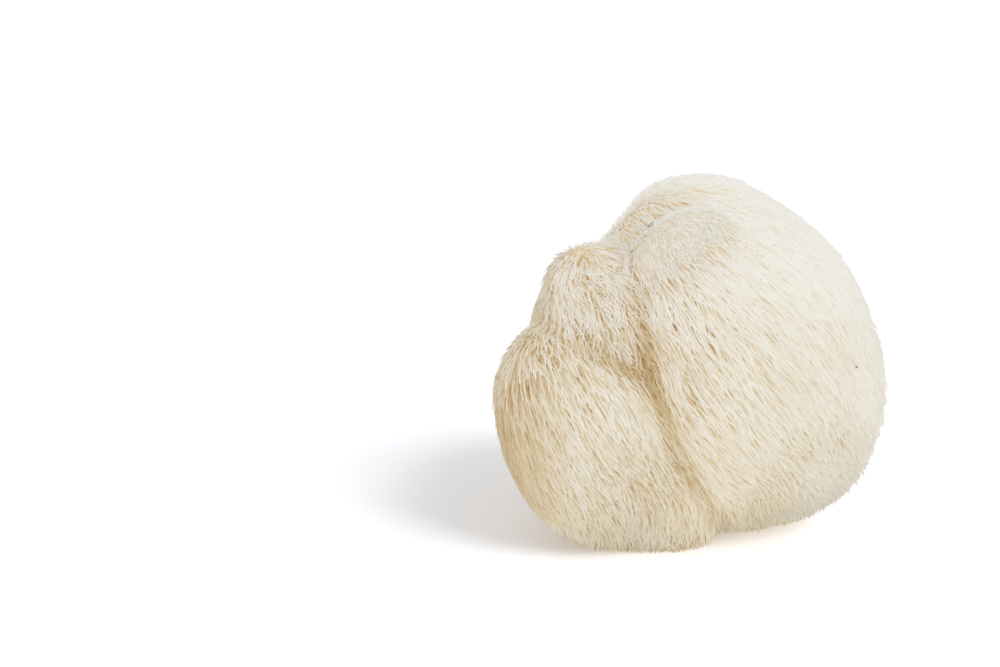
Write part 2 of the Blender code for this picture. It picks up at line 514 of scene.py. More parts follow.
def slow_noise(points, size, seed):
    """Return a slowly changing random vector for each point."""
    start = Vector((seed * 7.3, seed * 3.1, seed * 5.7))
    return np.array([noise.noise_vector(Vector(point) / size + start) for point in points])


for layer in (FILL, LONG):
    roots = layer["roots"]
    normals = surface_normals(roots)
    layer["lobe"] = lobe_distances(roots).argmin(axis=-1)
    layer["tousle"] = by_lobe(TOUSLED, 1.0)[layer["lobe"]]
    layer["facing"] = hang_facing(roots)
    layer["open"] = openness(roots)
    finer, weaker = FINER_DISORDER
    stray = slow_noise(roots, DISORDER_SIZE, 1)
    stray = stray + weaker * slow_noise(roots, DISORDER_SIZE / finer, 2)
    layer["stray"] = along_surface(stray, normals) * (DISORDER * layer["tousle"])[:, None]
    print(layer["label"], "hanging free:", int((layer["facing"] > 0.5).sum()))

# %% Lengths, tips and angles, each a little different
LENGTH_VARIES = 0.22
LENGTH_SHARE = {"ridge": 0.60, "saddle": 0.60, "brow": 0.70, "main": 1.25, "belly": 1.15}
CROWN_SHORTER = 0.35         # share of its length that a spine lacks on a crown
TURN_VARIES = math.radians(8.0)
FREE_TIP = 0.0010            # how much further the tips reach where they hang free
STRAY_TIP = 0.00045          # how far a few tips stick out, on average
MOST_STRAY = 0.0014          # and at most
STRAY_ASIDE = (0.6, 2.0)     # how many times so far, on most of it and at the right side
CREASE_TIP = 0.0020          # how much lower the tips lie in a crease
PRESSED = 0.008              # under this height the floor presses the coat flat

for layer in (FILL, LONG):
    count = len(layer["roots"])
    free = layer["facing"].clip(0.0, 1.0)
    closed = (1.0 - layer["open"]) ** 2
    crown = crownness(layer["roots"])
    varied = (1.0 + LENGTH_VARIES * chance.standard_normal(count)).clip(0.5, 1.6)
    share = by_lobe(LENGTH_SHARE, 1.0)[layer["lobe"]] * (1.0 - CROWN_SHORTER * crown)
    layer["lengths"] = layer["length"] * varied * share
    layer["lift"] = chance.standard_normal(count)
    tips = layer["height"] + layer["spread"] * layer["lift"]
    layer["tips"] = tips + FREE_TIP * free - CREASE_TIP * closed
    aside = np.interp(layer["roots"][:, 0], LIMP_RIGHT, STRAY_ASIDE)
    above_floor = np.clip(layer["roots"][:, 2] / PRESSED, 0.0, 1.0)
    strays = chance.exponential(STRAY_TIP, count).clip(0.0, MOST_STRAY)
    layer["strays"] = strays * aside * above_floor
    layer["turns"] = TURN_VARIES * layer["tousle"] * chance.standard_normal(count)
    layer["depths"] = coat_depth(layer["roots"])
    print(layer["label"], "mean length in mm:", round(float(layer["lengths"].mean()) * 1000, 1))

# %% The walk
FLAT_REACH = 0.95            # share of its length that a lying spine runs along the surface
LEAST_REACH = 0.55           # the same near a crown, where nothing pulls sideways
HANGS_FREE = 0.05            # facing the hang more than this, a spine hangs off the surface
FREE_QUICKNESS = 1.1         # how soon such a spine leaves the flesh


def reaches(layer):
    """Return how far each spine runs along the surface."""
    facing = layer["facing"]
    sideways = np.sqrt(np.maximum(1.0 - facing**2, 0.0))
    sideways = np.where(facing < 0.0, np.maximum(sideways, LEAST_REACH), sideways)
    lying = layer["lengths"] * FLAT_REACH * sideways
    hanging = (layer["depths"] + layer["tips"]) * sideways / np.maximum(facing, HANGS_FREE)
    return np.where(facing > HANGS_FREE, np.minimum(lying, hanging), lying)


def grow(layer):
    """Return the places of every spine at each of its steps."""
    reach = reaches(layer)
    free = layer["facing"].clip(0.0, 1.0)
    bend = layer["quickness"] * (1.0 - free) + FREE_QUICKNESS * free
    point = layer["roots"]
    places = [point]
    for before, now in zip(layer["steps"][:-1], layer["steps"][1:]):
        normals = surface_normals(point)
        flow = unit(along_surface(hang_at(point) + layer["stray"], normals))
        side = np.cross(normals, flow)
        flow = flow * np.cos(layer["turns"])[:, None] + side * np.sin(layer["turns"])[:, None]
        point = point + flow * (reach * (now - before))[:, None]
        rise = 1.0 - (1.0 - now) ** bend
        height = -layer["depths"] + (layer["depths"] + layer["tips"]) * rise
        height = height + layer["strays"] * now**3
        point = point + surface_normals(point) * (height - coat_distance(point))[:, None]
        places.append(point)
    return np.stack(places, axis=1)


for layer in (FILL, LONG):
    layer["paths"] = grow(layer)
    print(layer["label"], "steps of a spine:", layer["paths"].shape[1])

# %% Locks: neighbours lean towards each other
LOCK_ROOM = 0.0030           # distance between the middles of two locks
LOCK_PULL = 0.30             # most share of the way that a tip gives in
TUFTED = {"cheek": 2.0, "brow": 1.8, "saddle": 1.5}    # how much stronger it is there


def lock_leaders(points, room):
    """Return for each point the number of the spine that leads its lock."""
    order = chance.permutation(len(points))
    leaders = with_room(points[order], np.full(len(points), room))
    whole = kdtree.KDTree(len(points))
    for number, point in enumerate(points):
        whole.insert(point, number)
    whole.balance()
    spine_of = [whole.find(leader)[1] for leader in leaders]
    tree = kdtree.KDTree(len(leaders))
    for number, leader in enumerate(leaders):
        tree.insert(leader, number)
    tree.balance()
    return np.array([spine_of[tree.find(point)[1]] for point in points])


leaders = lock_leaders(LONG["roots"], LOCK_ROOM)
tufted = by_lobe(TUFTED, 1.0)[LONG["lobe"]]
pull = (chance.uniform(0.0, LOCK_PULL, len(leaders)) * tufted)[:, None]
pull = pull * np.array(LONG["steps"])[None, :] ** 1.5
LONG["paths"] = LONG["paths"] + (LONG["paths"][leaders] - LONG["paths"]) * pull[..., None]
print(len(np.unique(leaders)), "locks")

# %% Waves along each spine, and the floor that presses them
JITTER = 0.25                # share of the swing that is chance at every step
THICKNESS_VARIES = 0.14
FINER = {"ridge": 0.78, "saddle": 0.78, "brow": 0.85, "cheek": 0.95}

for layer in (FILL, LONG):
    paths, steps = layer["paths"], np.array(layer["steps"])
    count = len(paths)
    aside = unit(np.cross(surface_normals(layer["roots"]), paths[:, -1] - paths[:, 0]))
    phase = chance.uniform(0.0, math.tau, (count, 1))
    turns = chance.uniform(0.7, 1.5, (count, 1))
    swing = np.sin(math.tau * turns * steps[None, :] + phase) * np.sqrt(steps)[None, :]
    swing = swing * layer["wave"] * (layer["tousle"] ** 0.5)[:, None]
    jitter = chance.standard_normal(paths.shape) * JITTER * layer["wave"] * steps[None, :, None]
    paths = paths + aside[:, None, :] * swing[..., None] + jitter
    varied = (1.0 + THICKNESS_VARIES * chance.standard_normal(count)).clip(0.6, 1.5)
    layer["radii"] = layer["radius"] * varied * by_lobe(FINER, 1.0)[layer["lobe"]]
    paths[..., 2] = np.maximum(paths[..., 2], layer["radii"][:, None])
    layer["paths"] = paths
    print(layer["label"], "lowest middle in mm:", round(float(paths[..., 2].min()) * 1000, 2))

# %% [markdown]
# ## Slits and a bare patch
#
# The strands don't lie evenly. They part here and there, and the tan depth of the coat
# shows through long, narrow slits. Holes cut into the coat would show stumps, so the
# strands are pushed to both sides of a line instead, as a comb parts them. The clearest
# slits of the real one are listed, and the rest are placed at random on the front at the
# left, where it has most of them. Under the brow, between the lobes, a patch of flesh is
# bare and shows as pale felt. The spines that would lie over it are taken out.

# %% The clearest slits of the real one
# middle, half the width and half the length of each, in mm
SLITS = (
    ((-41.7, -34.0, 70.8), 0.55, 1.0),
    ((-40.5, -34.7, 71.3), 0.40, 1.2),
    ((-34.0, -38.9, 68.4), 0.40, 1.2),
    ((-35.0, -38.5, 68.7), 0.45, 1.0),
    ((-29.5, -39.8, 67.0), 0.40, 1.0),
    ((-25.5, -39.8, 68.5), 0.40, 1.4),
    ((-46.1, -37.6, 66.6), 0.55, 1.0),
    ((-40.8, -34.3, 71.5), 0.40, 1.4),
    ((-43.8, -38.6, 62.5), 0.45, 2.0),
    ((-41.8, -40.2, 60.2), 0.35, 1.6),
    ((-27.3, -36.3, 82.0), 0.40, 2.6),
    ((-28.8, -35.4, 83.6), 0.35, 2.0),
    ((-18.6, -36.4, 81.5), 0.50, 2.6),
    ((-16.2, -36.6, 79.0), 0.55, 3.0),
    ((-17.0, -38.0, 73.5), 0.50, 2.6),
    ((-14.8, -39.6, 68.5), 0.55, 3.0),
    ((-13.4, -41.0, 62.0), 0.60, 3.0),
    ((-12.0, -42.2, 57.0), 0.50, 2.6),
    ((-8.5, -44.0, 50.0), 0.45, 2.6),
    ((-5.9, -37.8, 94.4), 0.50, 1.6),
    ((-9.5, -37.0, 94.8), 0.40, 1.2),
    ((-13.7, -34.5, 92.7), 0.40, 0.8),
    ((-14.3, -35.4, 87.8), 0.35, 0.7),
    ((-8.7, -16.4, 105.6), 0.40, 1.2),
    ((-1.0, -40.3, 88.0), 0.30, 2.6),
    ((1.5, -43.0, 82.0), 0.30, 2.6),
)
print(len(SLITS), "slits placed by hand")

# %% More slits at random
MORE_SLITS = 70
SLIT_ROOM = 0.0034           # least distance between two of them
HALF_WIDTHS = (0.32, 0.50)   # in mm, as above
HALF_LENGTHS = (2.0, 3.6)

x, y, z = LONG["roots"].T
loose = (x < 0.006) & (y < -0.020) & (z > 0.046) & (z < 0.094)
shuffled = chance.permutation(LONG["roots"][loose])
picked = with_room(shuffled, np.full(len(shuffled), SLIT_ROOM))[:MORE_SLITS] * 1000.0
for middle in picked:
    SLITS += ((tuple(middle), chance.uniform(*HALF_WIDTHS), chance.uniform(*HALF_LENGTHS)),)
slit_places = np.array([middle for middle, _, _ in SLITS]) / 1000.0
slit_places = slit_places - surface_normals(slit_places) * coat_distance(slit_places)[:, None]
slit_normals = surface_normals(slit_places)
slit_flows = unit(along_surface(hang_at(slit_places), slit_normals))
slit_sides = np.cross(slit_normals, slit_flows)
print(len(SLITS), "slits in all")

# %% Part the strands at the slits
SLIT_PUSH = 1.35             # how far the strands go aside, as a share of the half width
SLIT_DEPTH = 0.004           # strands deeper or higher than this stay


def part_strands(paths):
    """Push the strands to both sides of every slit."""
    for number, (_, wide, long) in enumerate(SLITS):
        away = paths - slit_places[number]
        near = np.abs(away @ slit_normals[number]) < SLIT_DEPTH
        along = away @ slit_flows[number] / (long / 1000.0)
        aside = away @ slit_sides[number]
        room = SLIT_PUSH * wide / 1000.0 * np.exp(-(along**2)) * near
        pushed = np.where(aside < 0.0, -1.0, 1.0) * np.sqrt(aside**2 + room**2)
        paths = paths + slit_sides[number] * (pushed - aside)[..., None]
    return paths


def near_slits(points, reach):
    """Return 1 at a slit and 0 further than about the reach from all of them."""
    nearest = np.full(points.shape[:-1], 1.0)
    for place in slit_places:
        nearest = np.minimum(nearest, np.linalg.norm(points - place, axis=-1))
    return np.exp(-((nearest / reach) ** 2))


for layer in (FILL, LONG):
    before = layer["paths"]
    layer["paths"] = part_strands(before)
    moved = np.linalg.norm(layer["paths"] - before, axis=-1).max()
    print(layer["label"], "pushed aside at most", round(float(moved) * 1000, 2), "mm")

# %% The bare patch under the brow
BARE_PLACE = np.array((-0.0160, -0.0320, 0.0921))
BARE_RADIUS = 0.0016


def without(layer, gone):
    """Take the marked spines out of the layer."""
    for key, values in layer.items():
        if isinstance(values, np.ndarray):
            layer[key] = values[~gone]


for layer in (FILL, LONG):
    away = np.linalg.norm(layer["paths"] - BARE_PLACE, axis=-1).min(axis=1)
    without(layer, away < BARE_RADIUS)
    print(layer["label"], "over the patch:", int((away < BARE_RADIUS).sum()))

# %% [markdown]
# ## One spine, repeated
#
# A spine has to be light, because there are many thousands. It is a cone with three sides,
# cut into rings by the subdivide operator and closed at the root. One edge of it faces
# outwards, so both sides beside that edge see the light, and normals that bend round it
# make it look round. They are partly those of the body, so that the coat takes the light
# as one soft surface. At the other two edges and at the root they stay the spine's own,
# because over a crest a spine is seen from behind, and a normal that faces away from the
# eye would turn it grey. NumPy lays a copy along every walk, and the copies are joined
# into a few meshes, one for each part of the coat.

# %% Template: a cone with three sides, cut into rings
SIDES = 3


def template(rings):
    """Return the ring and angle of each point of a cone, and its triangles."""
    bm = bmesh.new()
    bmesh.ops.create_cone(bm, segments=SIDES, radius1=1.0, radius2=0.0, depth=1.0, cap_ends=True)
    rising = [edge for edge in bm.edges if abs(edge.verts[0].co.z - edge.verts[1].co.z) > 0.5]
    bmesh.ops.subdivide_edges(bm, edges=rising, cuts=rings - 2)
    bmesh.ops.triangulate(bm, faces=bm.faces[:])
    bm.verts.index_update()
    ring_of = np.array([round((vert.co.z + 0.5) * (rings - 1)) for vert in bm.verts])
    angle_of = np.array([math.atan2(vert.co.y, vert.co.x) + math.pi for vert in bm.verts])
    triangles = np.array([[vert.index for vert in face.verts] for face in bm.faces])
    bm.free()
    return ring_of, angle_of, triangles


for layer in (FILL, LONG):
    layer["cone"] = template(len(layer["steps"]))
    print(layer["label"], len(layer["cone"][2]), "triangles a spine")

# %% Thickness from root to tip
FLATNESS = 0.50              # height of a spine's section as a share of its width
CLUB = 0.1                   # how much thicker it grows towards the tip, like a club,
BLUNTNESS = 3.5              # before its end, which is rounder with a higher number


def taper(steps):
    """Return the share of its thickness that a spine has at each step."""
    steps = np.asarray(steps)
    return (1.0 + CLUB * steps) * np.sqrt(np.maximum(1.0 - steps**BLUNTNESS, 0.0))


print("thickness along a long spine:", taper(LONG["steps"]).round(2))

# %% [markdown]
# ## Tone of the coat
#
# The coat is cream, yellower where the spines hang free low down, and browned at the very
# edge it rests on. It is whiter towards the top and on the crown, partly its own colour and
# partly painted light, and whiter to the right, which is painted light. It is tan on the left
# side, partly its own tan and partly painted shade, and darker in the creases, which is
# painted shade. A strand that lies high is whiter than those below it, and most so on the
# front at the left, where the strands stand out boldly: that is painted shade, for the shade
# between them.
# One number a spine holds all this, from 0 for the brownest to 1 for the whitest. It goes
# in the UV map: across the map lies the tone and up the map the way from root to tip. One
# small picture of that map then holds the colour of every spine, when it is exported.

# %% Where the strands stand out boldly
BOLD_RIGHT = ((0.000, 0.028, 0.050), (1.0, 0.30, 0.0))     # places along X, and boldness there
BOLD_UP = ((0.015, 0.045, 0.060, 0.080, 0.093), (0.25, 0.60, 1.0, 1.0, 0.25))    # along Z
FUZZ_EVEN = 0.85             # share of it that the short fuzz lacks


def boldness(points):
    """Return 1 where painted shade sets the strands off sharply, and less where the coat looks even."""
    bold = np.interp(points[:, 0], *BOLD_RIGHT) * np.interp(points[:, 2], *BOLD_UP)
    return bold * (1.0 - FUZZ_EVEN * fuzz_share(points))


for layer in (FILL, LONG):
    layer["bold"] = boldness(layer["roots"])
    print(layer["label"], "mean boldness:", round(float(layer["bold"].mean()), 2))

# %% Tone by chance, and painted shade by height in the coat
TONE_MIDDLE = 0.58
TONE_VARIES = 0.05
TONE_LIFT = 0.020            # painted shade: how much whiter a spine is that lies higher in the coat
BOLD_LIFT = 0.105            # how much more so where the coat is bold
BOLD_SHADE = 0.24             # painted shade: how much browner the lower layer is there
BROWNED_HEIGHT = 0.0018      # up to about this height tips are browned
BROWNED_SHARE = 0.6          # how many of them
BROWNED = 0.32               # and how much

for layer in (FILL, LONG):
    count = len(layer["roots"])
    tones = TONE_MIDDLE + layer["tone"] + TONE_VARIES * chance.standard_normal(count)
    tones = tones + (TONE_LIFT + BOLD_LIFT * layer["bold"]) * layer["lift"].clip(-1.8, 1.4)
    if layer is FILL:
        tones = tones - BOLD_SHADE * layer["bold"]
    browned = np.exp(-((layer["paths"][:, -1, 2] / BROWNED_HEIGHT) ** 2))
    tones = tones - BROWNED * browned * (chance.random(count) < BROWNED_SHARE)
    layer["tones"] = tones
    print(layer["label"], "mean tone:", round(float(tones.mean()), 2))

# %% Painted shade in the creases
CREASE_SHADE_BY_Z = ((0.010, 0.044, 0.057, 0.068, 0.088), (0.15, 0.25, 0.9, 1.0, 0.2))    # how much painted shade, along Z
CREASE_LEFT = ((-0.030, -0.018), (0.5, 1.0))               # and along X
CREASE_LINE = (0.50, 0.0026)     # how much painted shade at its bottom, and how far to its sides
CREASE_SIDES = (0.12, 0.007)     # the same for a wider and softer edge
CLOSED_SHADE = (0.12, 0.15)      # painted shade wherever it is closed in, and more in a shaded crease
FUZZ_CLOSED = 0.7                # share of that which the short fuzz lacks

for layer in (FILL, LONG):
    roots = layer["roots"]
    beside = from_crease(layer["paths"][:, len(layer["steps"]) // 2])
    deep = np.interp(roots[:, 2], *CREASE_SHADE_BY_Z) * np.interp(roots[:, 0], *CREASE_LEFT)
    for shade_amount, wide in (CREASE_LINE, CREASE_SIDES):
        layer["tones"] -= deep * shade_amount * np.exp(-((beside / wide) ** 2))
    closed = (1.0 - layer["open"]) ** 1.3 * (1.0 - FUZZ_CLOSED * fuzz_share(roots))
    layer["tones"] -= (CLOSED_SHADE[0] + CLOSED_SHADE[1] * deep) * closed
    print(layer["label"], "mean tone:", round(float(layer["tones"].mean()), 2))

# %% Tone by place, with painted light and shade
WHITER_UP = (0.16, 0.113, 0.30)  # partly own colour, partly painted light from above: how much over the whole height, the height, and where from
RAMPS = (                    # axis, from, to, and how much whiter it gets on the way
    # painted light: these two rows make the coat whiter to the right, where the light falls
    (0, 0.0, 0.060, 0.16),
    (0, 0.0, 0.020, -0.04),
    # partly own colour, partly painted light: whiter on the crown
    (2, 0.076, 0.092, 0.24),
)
FUZZ_PALE = 0.34             # how much whiter the short fuzz is, partly own colour and partly painted light
FREE_YELLOW = 0.08           # how much yellower the spines are that hang free
LEFT_TAN_AND_SHADE = ((0.040, 0.062), (0.0, 0.52))         # how tan the left side is, by -X: partly its own tan, partly painted shade
LEFT_TAN_AND_SHADE_UP = ((0.044, 0.064), (1.0, 0.35))      # and the share of it by Z
TAN_SHADE_PLACE = np.array((0.0174, -0.0423, 0.0190))  # a shallow dimple low on the main lobe: a little tan, mostly painted shade
TAN_SHADE_PATCH = (0.12, 0.014)
MOTTLED = (0.10, 0.016)      # slow change of tone, and its size

for layer in (FILL, LONG):
    roots = layer["roots"]
    amount, height, start = WHITER_UP
    tones = layer["tones"] + amount * (layer["paths"][:, -1, 2] / height - start)
    for axis, low, high, whiter in RAMPS:
        tones = tones + np.interp(roots[:, axis], (low, high), (0.0, whiter))
    tones = tones + FUZZ_PALE * fuzz_share(roots)
    tones = tones - FREE_YELLOW * layer["facing"].clip(0.0, 1.0) ** 2
    tones = tones - np.interp(-roots[:, 0], *LEFT_TAN_AND_SHADE) * np.interp(roots[:, 2], *LEFT_TAN_AND_SHADE_UP)
    from_patch = np.linalg.norm(roots - TAN_SHADE_PLACE, axis=1) / TAN_SHADE_PATCH[1]
    tones = tones - TAN_SHADE_PATCH[0] * np.exp(-(from_patch**2))
    layer["tones"] = tones + MOTTLED[0] * slow_noise(roots, MOTTLED[1], 4)[:, 0]

# %% Painted shade at the slits
# painted shade: how much darker each layer is at a slit, and how far that reaches
SLIT_SHADE = {"fill": 0.30, "long": 0.06}
SLIT_SHADE_REACH = 0.0022

for layer in (FILL, LONG):
    at_slits = near_slits(layer["paths"][:, 1], SLIT_SHADE_REACH)
    tones = layer["tones"] - SLIT_SHADE[layer["label"]] * at_slits
    layer["tones"] = tones.clip(0.03, 0.97)
    print(layer["label"], "tone from", round(float(tones.min()), 2), "to", round(float(tones.max()), 2))

# %% How a spine takes the light
RIDGE_SHADE = 0.70           # share of the body's own facing along a spine's outer edge
FUZZ_SHADE = 0.12            # the same on the short fuzz, which is seen over its crests
SIDE_SHADE = 0.30            # the same at its two other edges
CREST_SIDE_SHADE = 0.03      # and there on the lobes whose spines are seen over their crests
ROOT_SHADE = 0.3             # share of all these that is left at the root


def body_share(layer, chosen):
    """Return how much each point of each spine takes the light as the body does."""
    ring_of, angle_of, _ = layer["cone"]
    fuzz = fuzz_share(layer["roots"][chosen])[:, None]
    at_ridge = RIDGE_SHADE + (FUZZ_SHADE - RIDGE_SHADE) * fuzz
    on_crest = np.isin(LOBE_NAMES, CRESTS)[layer["lobe"][chosen]][:, None]
    at_side = np.where(on_crest, CREST_SIDE_SHADE, SIDE_SHADE) * (1.0 - fuzz)
    on_side = np.sin(angle_of) > 0.2    # the very tip, at 0, goes with the ridge
    share = np.where(on_side, at_side, at_ridge)
    return share * np.where(ring_of == 0, ROOT_SHADE, 1.0)


print("shares at the ridge and the sides:", RIDGE_SHADE, SIDE_SHADE)

# %% Lay the template along the walks
TIP_LEAN = 0.3               # how far a spine's own facing leans to its tip
TONE_RIDGE = 0.11            # painted light and shade: how much whiter a spine is along its ridge than at its sides
MAP_WIDTH = 0.006            # half the width of a spine on the map, so that faces have an area
MAP_HEIGHT = 0.004           # and how far its ridge lies off its sides
MAP_WAY = (0.02, 0.95)       # where a root lies on the map, and how far up a tip lies from it


def spine_arrays(layer, chosen):
    """Return points, triangles, map places and corner facings of the chosen spines."""
    ring_of, angle_of, faces = layer["cone"]
    steps = np.array(layer["steps"])
    round_x, round_y = np.cos(angle_of), np.sin(angle_of)
    walk = layer["paths"][chosen]
    tangent = unit(np.gradient(walk, axis=1))
    outward = surface_normals(walk)
    side = unit(np.cross(walk[:, -1:] - walk[:, :1], outward.mean(axis=1, keepdims=True)))
    inward = unit(np.cross(tangent, side))
    across = side * round_x[:, None] + inward[:, ring_of] * round_y[:, None] * FLATNESS
    thick = layer["radii"][chosen][:, None] * taper(steps)[ring_of]
    points = walk[:, ring_of] + across * thick[..., None]

    tone_place = layer["tones"][chosen][:, None] + MAP_WIDTH * round_x - TONE_RIDGE * round_y
    way_place = MAP_WAY[0] + MAP_WAY[1] * steps[ring_of] + MAP_HEIGHT * round_y
    way_place = np.broadcast_to(way_place, tone_place.shape)
    places = np.stack([tone_place.clip(0.01, 0.99), way_place], axis=-1)

    own = unit(across + TIP_LEAN * tangent[:, ring_of])
    share = body_share(layer, chosen)[..., None]
    facings = unit(own * (1.0 - share) + outward[:, ring_of] * share)[:, faces]
    root_end = (ring_of[faces] == 0).all(axis=1)
    facings[:, root_end] = -tangent[:, None, :1]

    first = np.arange(len(walk))[:, None, None] * len(ring_of)
    triangles = (faces[None] + first).reshape(-1, 3)
    return points.reshape(-1, 3), triangles, places.reshape(-1, 2), facings.reshape(-1, 3)


def coat_piece(name, layer, chosen):
    """Join the chosen spines into one smooth object with its map."""
    points, triangles, places, facings = spine_arrays(layer, chosen)
    mesh = bpy.data.meshes.new(name)
    mesh.vertices.add(len(points))
    mesh.vertices.foreach_set("co", points.astype(np.float32).ravel())
    mesh.loops.add(triangles.size)
    mesh.loops.foreach_set("vertex_index", triangles.astype(np.int32).ravel())
    mesh.polygons.add(len(triangles))
    mesh.polygons.foreach_set("loop_start", np.arange(0, triangles.size, 3, dtype=np.int32))
    mesh.update(calc_edges=True)
    uv_map = mesh.uv_layers.new(name="OFBake")
    uv_map.uv.foreach_set("vector", places[triangles.ravel()].astype(np.float32).ravel())
    mesh.shade_smooth()
    mesh.normals_split_custom_set(facings)
    piece = bpy.data.objects.new(name, mesh)
    bpy.context.scene.collection.objects.link(piece)
    return piece


print("a ring has its points at", np.unique(np.degrees(LONG["cone"][1]).round()), "degrees")

# %% Parts of the coat, by the lobe that carries them
PARTS = {
    "main": "main",
    "belly": "main",
    "ridge": "crown",
    "saddle": "crown",
    "brow": "crown",
    "cheek": "crown",
    "front": "front",
    "toe": "front",
}                            # the others are the rear
MOST_TRIANGLES = 190000

coat = []
for layer in (FILL, LONG):
    part_names = by_lobe(PARTS, "rear")[layer["lobe"]]
    for part in sorted(set(part_names)):
        members = np.flatnonzero(part_names == part)
        members = members[np.argsort(layer["roots"][members, 2], kind="stable")]
        cuts = math.ceil(len(members) * len(layer["cone"][2]) / MOST_TRIANGLES)
        for number, share in enumerate(np.array_split(members, cuts)):
            label = f"spines_{layer['label']}_{part}" + (f"_{number + 1}" if cuts > 1 else "")
            coat.append(coat_piece(label, layer, share))
            print(label, len(share), "spines,", len(coat[-1].data.polygons), "triangles")

# %% Marks on the flesh: painted shade in the slits, and the bare patch
FELT_PALE = 0.92             # how far the flesh under the short fuzz goes over to the bare tone
BARE_EDGE = 0.0032           # how far the bare tone goes round the patch
SLIT_SHADE_SPREAD = 0.0026         # how far the painted shade goes round the middle of its slit

flesh_now = np.array([vert.co for vert in flesh.data.vertices])
bare_share = np.exp(-((np.linalg.norm(flesh_now - BARE_PLACE, axis=1) / BARE_EDGE) ** 2))
bare_share = np.maximum(bare_share, FELT_PALE * fuzz_share(flesh_now))
for name, values in (("stain", near_slits(flesh_now, SLIT_SHADE_SPREAD)), ("bare", bare_share)):
    mark = flesh.data.attributes.new(name, "FLOAT", "POINT")
    mark.data.foreach_set("value", values.astype(np.float32))
    print(name, "points:", int((values > 0.5).sum()))

# %% [markdown]
# ## A grain of soil
#
# One dark grain of humus is caught in the coat at the right, about half a millimetre wide.
# A dot of colour could stand for it, but a real grain lies on the spines and has its own
# lumps, so it is a small ball whose points are moved in and out by a noise.

# %% A grain of soil in the coat
GRAIN_PLACE = np.array((0.0500, -0.0351, 0.0607))
GRAIN_RADIUS = 0.00030
LUMPS = (0.45, 1.1)          # how high they are, and how many to a radius

grain_bm = bmesh.new()
bmesh.ops.create_icosphere(grain_bm, subdivisions=3, radius=GRAIN_RADIUS)
to_surface = GRAIN_RADIUS - coat_distance(GRAIN_PLACE)
on_surface = Vector(GRAIN_PLACE + surface_normals(GRAIN_PLACE) * to_surface)
for vert in grain_bm.verts:
    lump = 1.0 + LUMPS[0] * noise.noise(vert.co / GRAIN_RADIUS * LUMPS[1])
    vert.co = on_surface + vert.co * lump
grain = finished("soil_grain", grain_bm)
print("the grain is", [round(side * 1000, 1) for side in grain.dimensions], "mm")

# %% [markdown]
# ## Colours of flesh and spines
#
# Fresh mushroom flesh is a mat of pale threads full of air and water. It is quite dull,
# and light that has gone through it comes out warmer, so the spines go from tan at the
# root over cream to ivory at the tip, and nothing on them shines. Scattering under the
# surface could make that warmth, but it turns spines of half a millimetre grey, so it is
# in the colours. They are given as they look on a screen, and one function turns them to
# linear light.

# %% Helpers for materials
def screen_colour(code, alpha=1.0):
    """Turn a colour as seen on a screen, such as #F0E8D0, to linear light."""
    values = [int(code[place:place + 2], 16) / 255.0 for place in (1, 3, 5)]
    linear = [v / 12.92 if v <= 0.04045 else ((v + 0.055) / 1.055) ** 2.4 for v in values]
    return (*linear, alpha)


def add_node(material, kind, settings=None, links=None):
    """Add a node, set its colour stops, properties and inputs, and link its inputs."""
    tree = material.node_tree
    made = tree.nodes.new(kind)
    for key, value in (settings or {}).items():
        if key == "stops":
            for _ in value[2:]:
                made.color_ramp.elements.new(0.5)
            for element, (place, code) in zip(made.color_ramp.elements, value):
                element.position = place
                element.color = screen_colour(code)
        elif hasattr(made, key):
            setattr(made, key, value)
        else:
            made.inputs[key].default_value = value
    for key, source in (links or {}).items():
        tree.links.new(source, made.inputs[key])
    return made


def new_material(name):
    """Return an empty node material."""
    material = bpy.data.materials.new(name)
    material.use_nodes = True
    material.node_tree.nodes.clear()
    return material


print("cream in linear light:", [round(v, 3) for v in screen_colour("#F0E8D0")[:3]])

# %% Spines: tan roots, cream middles and ivory tips
# partly painted shade: the tan roots also stand for the shade deep in the coat
ROOT_TONES = ((0.0, "#A27C4C"), (0.35, "#CDAF80"), (0.7, "#E2CDA6"), (1.0, "#EFE4CB"))
MIDDLE_TONES = ((0.0, "#BFA679"), (0.35, "#DFD0AE"), (0.7, "#EFEADC"), (1.0, "#F7F6F0"))
TIP_TONES = ((0.0, "#D2BE96"), (0.35, "#EADFC5"), (0.7, "#F4F0E6"), (1.0, "#FAF9F5"))
TURNS_MIDDLE = (0.10, 0.55)  # between which heights on the map the root's tones turn
TURNS_TIP = (0.55, 1.0)      # into the middle's, and those into the tip's
FLESH_IOR = 1.38             # damp flesh is mostly water


def spine_material():
    """Fresh spines: soft and damp, so dull, and paler towards the tip, which lets light in."""
    material = new_material("fresh_mushroom_spines")
    place = add_node(material, "ShaderNodeUVMap", {"uv_map": "OFBake"})
    split = add_node(material, "ShaderNodeSeparateXYZ", links={"Vector": place.outputs["UV"]})
    tone, way = {"Fac": split.outputs["X"]}, {"Value": split.outputs["Y"]}
    colour = add_node(material, "ShaderNodeValToRGB", {"stops": ROOT_TONES}, tone).outputs["Color"]
    for stops, (low, high) in ((MIDDLE_TONES, TURNS_MIDDLE), (TIP_TONES, TURNS_TIP)):
        share = add_node(material, "ShaderNodeMapRange", {"From Min": low, "From Max": high}, way)
        next_colour = add_node(material, "ShaderNodeValToRGB", {"stops": stops}, tone)
        inputs = {0: share.outputs["Result"], 6: colour, 7: next_colour.outputs["Color"]}
        colour = add_node(material, "ShaderNodeMix", {"data_type": "RGBA"}, inputs).outputs[2]
    dull = {"Roughness": 0.8, "IOR": FLESH_IOR, "Specular IOR Level": 0.0}
    shader = add_node(material, "ShaderNodeBsdfPrincipled", dull, {"Base Color": colour})
    add_node(material, "ShaderNodeOutputMaterial", links={"Surface": shader.outputs["BSDF"]})
    return material


spines_look = spine_material()
print("spine tones:", len(ROOT_TONES), "stops each")

